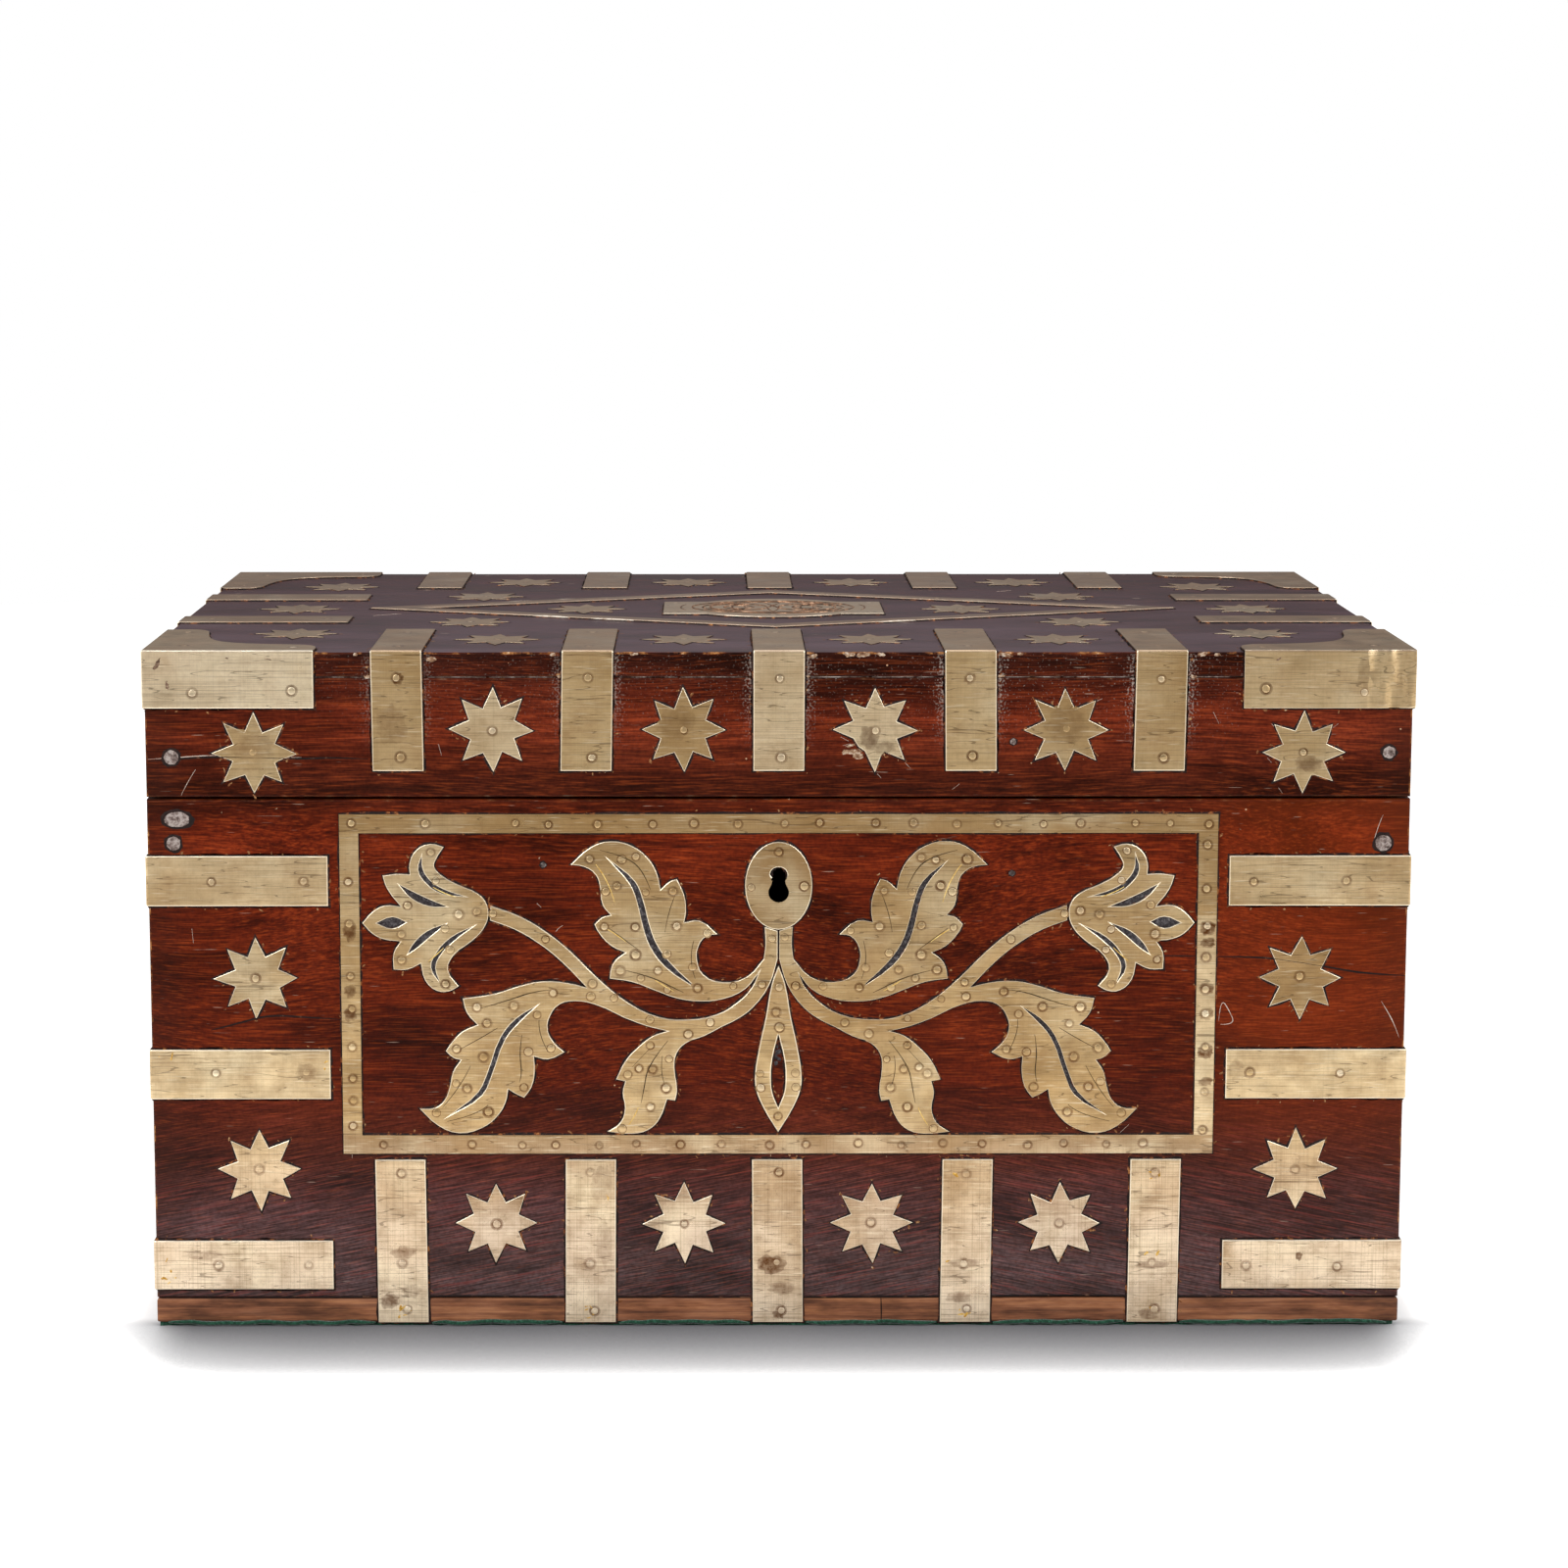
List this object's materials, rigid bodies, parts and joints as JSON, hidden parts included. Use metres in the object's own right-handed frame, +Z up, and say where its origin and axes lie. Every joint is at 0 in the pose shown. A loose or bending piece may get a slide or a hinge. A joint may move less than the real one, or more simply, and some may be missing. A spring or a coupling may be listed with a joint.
{
  "type": "document box",
  "caption": "Brass-bound wooden document box with a hinged lid, pierced brass foliage round the keyhole, a box lock with a sliding bolt and a baize-covered base.",
  "frame": {"origin": "on the floor under the middle of the box", "axes": "+X to the right seen from the front, +Y to the back, +Z up; the front with the keyhole faces -Y"},
  "size_m": [0.44, 0.255, 0.2411],
  "materials": {
    "polished_wood": "polished",
    "plain_wood": "matte",
    "baize": "napped",
    "brass": "worn",
    "steel": "blackened"
  },
  "bodies": {
    "box": {"front_wall": "polished_wood", "back_wall": "polished_wood", "left_wall": "polished_wood", "right_wall": "polished_wood", "base_board": "plain_wood", "baize_sheet": "baize", "left_hinge_body_leaf": "brass", "left_hinge_pin": "steel", "right_hinge_body_leaf": "brass", "right_hinge_pin": "steel", "lock_case": "brass", "lock_cap": "brass", "left_corner_strap_low": "brass", "left_corner_strap_middle": "brass", "left_corner_strap_high": "brass", "right_corner_strap_low": "brass", "right_corner_strap_middle": "brass", "right_corner_strap_high": "brass", "foot_strap_1": "brass", "foot_strap_2": "brass", "foot_strap_3": "brass", "foot_strap_4": "brass", "foot_strap_5": "brass", "panel_frame": "brass", "escutcheon": "brass", "pendant": "brass", "left_spray": "brass", "right_spray": "brass", "left_tulip": "brass", "right_tulip": "brass"},
    "lid": {"lid_top_board": "polished_wood", "lid_front_rail": "polished_wood", "lid_back_rail": "polished_wood", "lid_left_rail": "polished_wood", "lid_right_rail": "polished_wood", "left_hinge_lid_leaf": "brass", "right_hinge_lid_leaf": "brass", "link_plate": "brass", "lid_front_strap_1": "brass", "lid_front_strap_2": "brass", "lid_front_strap_3": "brass", "lid_front_strap_4": "brass", "lid_front_strap_5": "brass", "lid_rear_strap_1": "brass", "lid_rear_strap_2": "brass", "lid_rear_strap_3": "brass", "lid_rear_strap_4": "brass", "lid_rear_strap_5": "brass", "lid_left_end_strap_front": "brass", "lid_left_end_strap_rear": "brass", "lid_right_end_strap_front": "brass", "lid_right_end_strap_rear": "brass", "lid_bracket_front_left": "brass", "lid_bracket_front_right": "brass", "lid_bracket_rear_left": "brass", "lid_bracket_rear_right": "brass", "lozenge_frame": "brass", "lid_medallion": "brass"},
    "bolt": {"lock_bolt": "steel", "bolt_spring": "steel"}
  },
  "joints": [
    {"name": "lid_hinge", "type": "hinge", "parent": "box", "child": "lid", "pos_m": [0, 0.1219, 0.189], "axis": [-1, 0, 0], "range_deg": [0, 100]},
    {"name": "lock_bolt_slide", "type": "slide", "parent": "box", "child": "bolt", "axis": [1, 0, 0], "range_m": [0, 0.006]}
  ]
}
